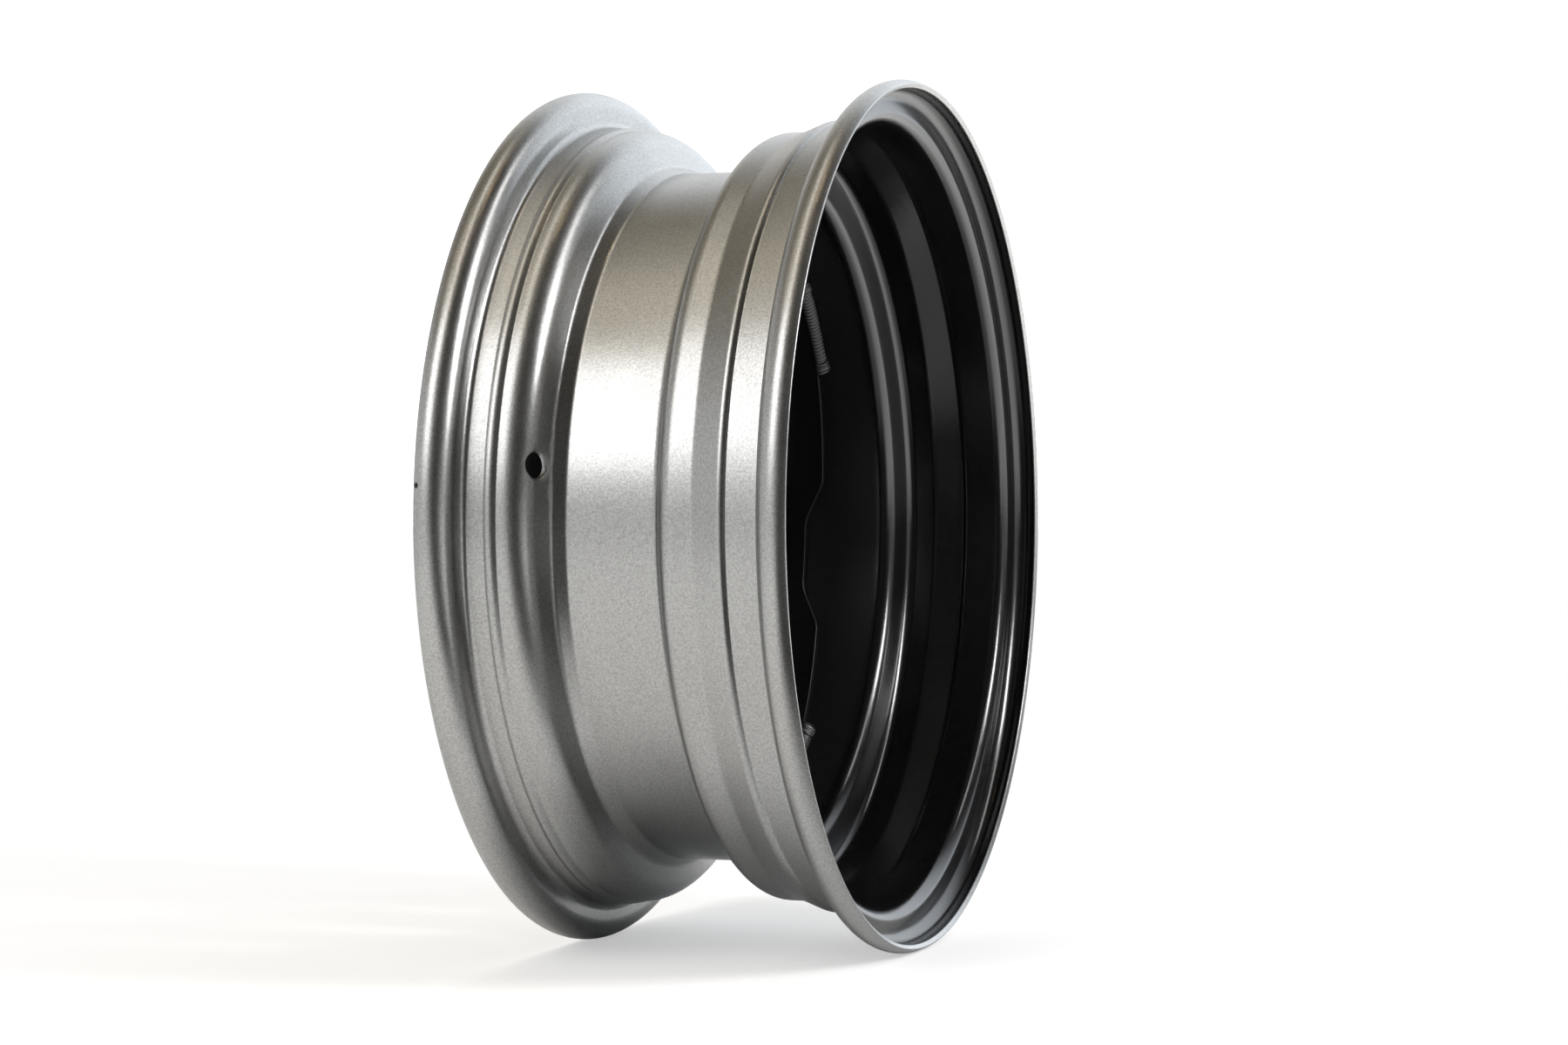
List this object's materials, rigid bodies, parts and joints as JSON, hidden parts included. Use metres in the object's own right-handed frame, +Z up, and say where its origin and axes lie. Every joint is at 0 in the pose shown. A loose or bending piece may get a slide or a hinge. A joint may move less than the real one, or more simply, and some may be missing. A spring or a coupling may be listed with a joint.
{
  "type": "car wheel",
  "caption": "Bare steel car wheel: rolled drop-centre rim with curled flanges and a valve hole, and a pressed dish with a lobed skirt welded inside it.",
  "frame": {"origin": "on the spin axis, midway between the two lip edges of the rim", "axes": "+Y along the spin axis towards the inboard side, -Y towards the outboard side that shows on a car, +Z up, +X towards the side of the valve hole"},
  "size_m": [0.4151, 0.173, 0.4152],
  "materials": {
    "silver_paint": "silver metallic paint outside, gloss black on the axle side",
    "black_paint": "gloss black paint"
  },
  "bodies": {
    "root": {"rim": "silver_paint", "wheel_disc": "black_paint", "disc_weld_1": "black_paint", "disc_weld_2": "black_paint", "disc_weld_3": "black_paint", "disc_weld_4": "black_paint"}
  },
  "joints": []
}
